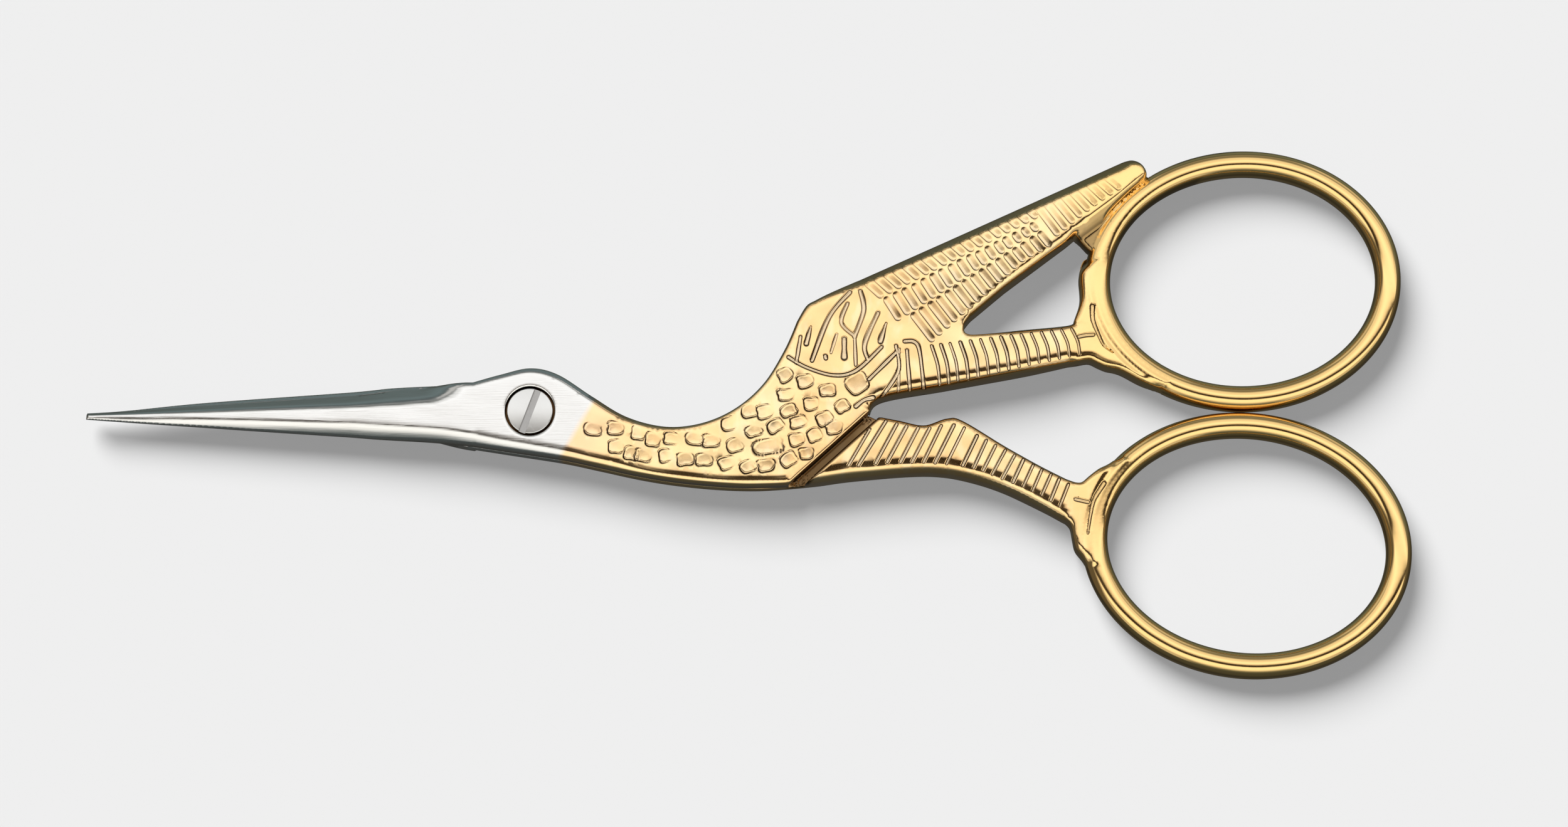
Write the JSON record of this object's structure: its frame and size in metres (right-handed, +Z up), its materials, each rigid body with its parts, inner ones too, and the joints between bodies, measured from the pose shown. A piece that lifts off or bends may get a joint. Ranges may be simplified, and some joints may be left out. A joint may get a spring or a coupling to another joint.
{
  "type": "embroidery scissors",
  "caption": "Stork-shaped embroidery scissors: slim pointed steel blades as the beak, a slotted pivot screw as the eye, a gold-plated body, wing and legs, and oval finger rings.",
  "frame": {"origin": "on the pivot axis, at the plane that the closed scissors rest on", "axes": "-X towards the blade tips, +X towards the finger rings, +Y towards the front half's ring, +Z up out of the decorated face along the pivot"},
  "size_m": [0.1152, 0.0466, 0.004],
  "materials": {
    "plated_steel": "polished, gold plated from the neck to the rings, with the blades and head left bright steel",
    "screw_steel": "turned and polished"
  },
  "bodies": {
    "rear": {"rear_half": "plated_steel", "pivot_screw": "screw_steel"},
    "front": {"front_half": "plated_steel"}
  },
  "joints": [
    {"name": "pivot", "type": "hinge", "parent": "rear", "child": "front", "pos_m": [0, 0, 0.002], "axis": [0, 0, 1], "range_deg": [0, 150]}
  ]
}
